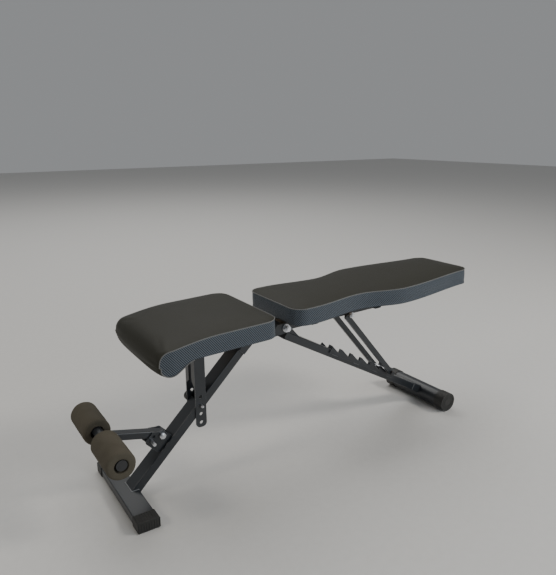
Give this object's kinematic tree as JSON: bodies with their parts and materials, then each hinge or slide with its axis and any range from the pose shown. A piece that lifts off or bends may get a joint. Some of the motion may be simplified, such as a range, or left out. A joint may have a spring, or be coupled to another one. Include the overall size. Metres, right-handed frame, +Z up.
{
  "type": "adjustable weight bench",
  "caption": "Folding exercise bench with a tilting seat, a reclining padded backrest held by a toothed ladder, and foam ankle rollers on a tilting arm.",
  "frame": {"origin": "on the floor, under the middle of the bench's length and width", "axes": "+X from the foam rollers towards the head end, +Y across the bench to the left of a person facing +X, +Z up"},
  "size_m": [1.2617, 0.325, 0.4902],
  "materials": {
    "powder_black": "semi-gloss black powder coat",
    "zinc": "bright zinc plate",
    "rubber_black": "moulded black rubber",
    "plastic_black": "fine-grained black plastic",
    "foam": "matt closed-cell foam",
    "vinyl": "charcoal upholstery vinyl",
    "plywood": "plain plywood"
  },
  "bodies": {
    "rear_frame": {"rear_leg_tube": "powder_black", "rear_leg_plug": "plastic_black", "rear_leg_socket": "powder_black", "rear_foot_tube": "powder_black", "rear_foot_caps": "rubber_black", "rear_hinge_ears": "powder_black", "ladder_plate_near": "powder_black", "ladder_plate_far": "powder_black", "main_hinge_bolt": "zinc", "main_hinge_nut": "zinc", "main_hinge_washers": "zinc"},
    "front_leg": {"front_leg_tube": "powder_black", "front_leg_plug": "plastic_black", "leg_hinge_plates": "powder_black", "front_foot_tube": "powder_black", "front_foot_caps": "rubber_black", "roller_bracket": "powder_black", "roller_pivot_bolt": "zinc", "roller_pivot_nut": "zinc"},
    "roller_pin": {"roller_stop_pin": "zinc"},
    "roller_arm": {"roller_arm_tube": "powder_black", "roller_arm_plug": "plastic_black", "roller_crossbar": "powder_black", "roller_end_caps": "plastic_black"},
    "roller_near": {"foam_roller_near": "foam"},
    "roller_far": {"foam_roller_far": "foam"},
    "seat": {"seat_pad": "vinyl", "seat_board": "plywood", "seat_rail_near": "powder_black", "seat_rail_far": "powder_black", "seat_cross_bars": "powder_black", "seat_board_screws": "zinc", "link_pivot_bolt": "zinc", "link_pivot_nut": "zinc"},
    "seat_link": {"seat_link_near": "powder_black", "seat_link_far": "powder_black"},
    "lock_pin": {"seat_lock_pin": "zinc", "seat_lock_knob": "plastic_black"},
    "backrest": {"back_pad": "vinyl", "back_board": "plywood", "back_frame_tube": "powder_black", "back_frame_plugs": "plastic_black", "back_cross_bars": "powder_black", "back_board_screws": "zinc", "strut_pivot_bolt": "zinc", "strut_pivot_nut": "zinc", "strut_spacers": "powder_black"},
    "back_strut": {"back_strut_near": "powder_black", "back_strut_far": "powder_black", "strut_rod": "zinc", "strut_rod_caps": "plastic_black"}
  },
  "joints": [
    {"name": "back_recline", "type": "hinge", "parent": "rear_frame", "child": "backrest", "pos_m": [-0.05589, 0, 0.387], "axis": [0, -1, 0], "range_deg": [0, 48]},
    {"name": "strut_swing", "type": "hinge", "parent": "backrest", "child": "back_strut", "pos_m": [0.17411, 0, 0.389], "axis": [0, 1, 0], "range_deg": [0, 70]},
    {"name": "front_fold", "type": "hinge", "parent": "rear_frame", "child": "front_leg", "pos_m": [-0.05589, 0, 0.387], "axis": [0, -1, 0], "range_deg": [0, 105]},
    {"name": "seat_tilt", "type": "hinge", "parent": "front_leg", "child": "seat", "pos_m": [-0.05589, 0, 0.387], "axis": [0, 1, 0], "range_deg": [0, 11]},
    {"name": "link_swing", "type": "hinge", "parent": "seat", "child": "seat_link", "pos_m": [-0.33039, 0, 0.386], "axis": [0, -1, 0], "range_deg": [0, 11]},
    {"name": "lock_pin_pull", "type": "slide", "parent": "seat_link", "child": "lock_pin", "axis": [0, 1, 0], "range_m": [0, 0.085]},
    {"name": "roller_arm_tilt", "type": "hinge", "parent": "front_leg", "child": "roller_arm", "pos_m": [-0.44033, 0, 0.15713], "axis": [0, 1, 0], "range_deg": [0, 70]},
    {"name": "roller_pin_pull", "type": "slide", "parent": "front_leg", "child": "roller_pin", "axis": [0, 1, 0], "range_m": [0, 0.06]},
    {"name": "roller_spin_near", "type": "hinge", "parent": "roller_arm", "child": "roller_near", "pos_m": [-0.59489, 0, 0.194], "axis": [0, 1, 0], "continuous": true},
    {"name": "roller_spin_far", "type": "hinge", "parent": "roller_arm", "child": "roller_far", "pos_m": [-0.59489, 0, 0.194], "axis": [0, 1, 0], "continuous": true}
  ],
  "couplings": [
    {"joint": "strut_swing", "follows": "back_recline", "ratio": 1.45},
    {"joint": "link_swing", "follows": "seat_tilt", "ratio": 1}
  ]
}
